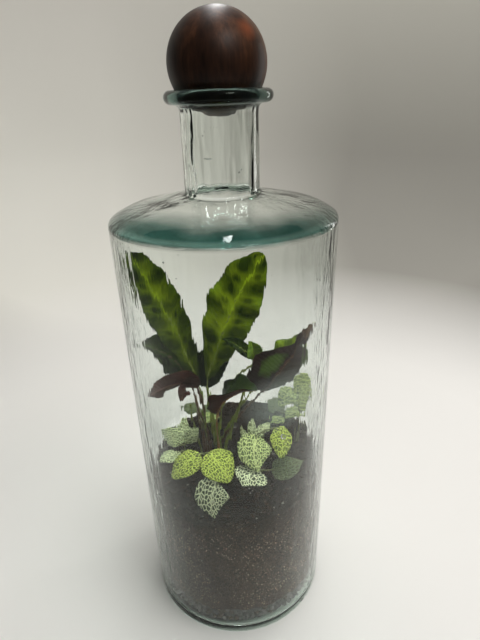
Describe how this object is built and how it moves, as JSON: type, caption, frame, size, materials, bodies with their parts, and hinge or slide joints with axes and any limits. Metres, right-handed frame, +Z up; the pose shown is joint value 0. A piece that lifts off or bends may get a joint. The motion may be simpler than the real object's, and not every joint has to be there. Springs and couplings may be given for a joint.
{
  "type": "glass plant terrarium",
  "caption": "Tall recycled-glass bottle planted as a closed terrarium: gravel, soil, long patterned leaves and net-veined creepers, shut by a wooden ball that rests on the rolled mouth.",
  "frame": {"origin": "centre of the bottle's base, on the surface that it stands on", "axes": "+Z up along the bottle, -Y towards the side that the picture shows, +X to that view's right"},
  "size_m": [0.16, 0.16, 0.4741],
  "materials": {
    "bottle_glass": "polished",
    "stopper_wood": "satin",
    "drainage_gravel": "matte",
    "potting_soil": "matte",
    "rattlesnake_leaf": "satin",
    "nerve_plant_leaf": "satin"
  },
  "bodies": {
    "root": {"bottle": "bottle_glass", "ball_stopper": "stopper_wood", "gravel": "drainage_gravel", "soil": "potting_soil", "leaf_tall_left": "rattlesnake_leaf", "leaf_tall_centre": "rattlesnake_leaf", "leaf_low_left": "rattlesnake_leaf", "leaf_maroon_left": "rattlesnake_leaf", "leaf_hanging_left": "rattlesnake_leaf", "leaf_big_right": "rattlesnake_leaf", "leaf_behind_right": "rattlesnake_leaf", "leaf_narrow_centre": "rattlesnake_leaf", "leaf_young_right": "rattlesnake_leaf", "leaf_dark_centre": "rattlesnake_leaf", "leaf_centre_right": "rattlesnake_leaf", "shoot_left": "rattlesnake_leaf", "fittonia_front_left": "nerve_plant_leaf", "fittonia_left": "nerve_plant_leaf", "fittonia_front_right": "nerve_plant_leaf", "fittonia_low_right": "nerve_plant_leaf", "fittonia_tall_right": "nerve_plant_leaf", "fittonia_centre": "nerve_plant_leaf", "fittonia_back_right": "nerve_plant_leaf", "fittonia_back_left": "nerve_plant_leaf"}
  },
  "joints": []
}
